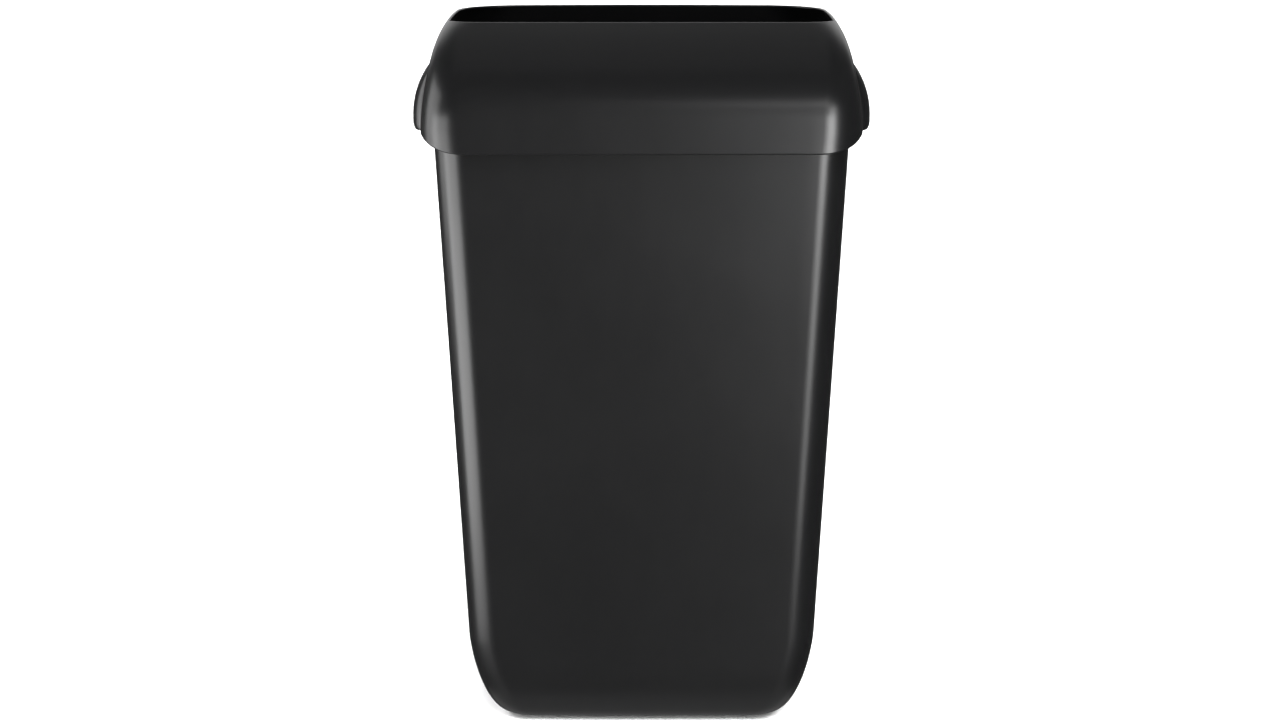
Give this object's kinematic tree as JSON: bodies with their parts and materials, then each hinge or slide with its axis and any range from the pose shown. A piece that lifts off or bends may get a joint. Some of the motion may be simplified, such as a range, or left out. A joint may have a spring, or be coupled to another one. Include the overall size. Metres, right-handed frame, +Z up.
{
  "type": "open-top litter bin",
  "caption": "Tapered moulded-plastic waste bin with a lift-off open-top hood, side finger grips, a hinged bag ring inside and a wall bracket behind; stands on the floor or hangs on a wall.",
  "frame": {"origin": "on the floor, under the middle of the overall width and depth, at the underside of the foot pads", "axes": "+Z up; the front of the bin faces -Y, the wall side faces +Y; +X to the right seen from the front"},
  "size_m": [0.428, 0.2906, 0.67],
  "materials": {
    "black_plastic": "satin, fine moulded grain",
    "sheet_steel": "galvanised sheet",
    "zinc_fixings": "zinc plated",
    "ring_wire": "drawn wire, zinc plated",
    "foot_rubber": "matt"
  },
  "bodies": {
    "bin": {"bin_body": "black_plastic", "foot_pad_front_left": "foot_rubber", "foot_pad_front_right": "foot_rubber", "foot_pad_rear_left": "foot_rubber", "foot_pad_rear_right": "foot_rubber", "hanger_plate": "sheet_steel", "hanger_screws": "zinc_fixings", "hanger_nuts": "zinc_fixings", "ring_clip_left": "sheet_steel", "ring_clip_right": "sheet_steel", "clip_screws": "zinc_fixings"},
    "bag_ring": {"ring_bow": "ring_wire", "ring_hinge_bar": "ring_wire"},
    "hood": {"hood": "black_plastic", "grip_left": "black_plastic", "grip_right": "black_plastic", "grip_screws": "zinc_fixings"},
    "wall_bracket": {"wall_bracket": "sheet_steel"}
  },
  "joints": [
    {"name": "hood_lift", "type": "slide", "parent": "bin", "child": "hood", "axis": [0, 0, 1], "range_m": [0, 0.15]},
    {"name": "ring_swing", "type": "hinge", "parent": "bin", "child": "bag_ring", "pos_m": [0, 0.1242, 0.56], "axis": [-1, 0, 0], "range_deg": [0, 12]},
    {"name": "bracket_slide", "type": "slide", "parent": "bin", "child": "wall_bracket", "axis": [0, 0, 1], "range_m": [-0.07, 0]}
  ]
}
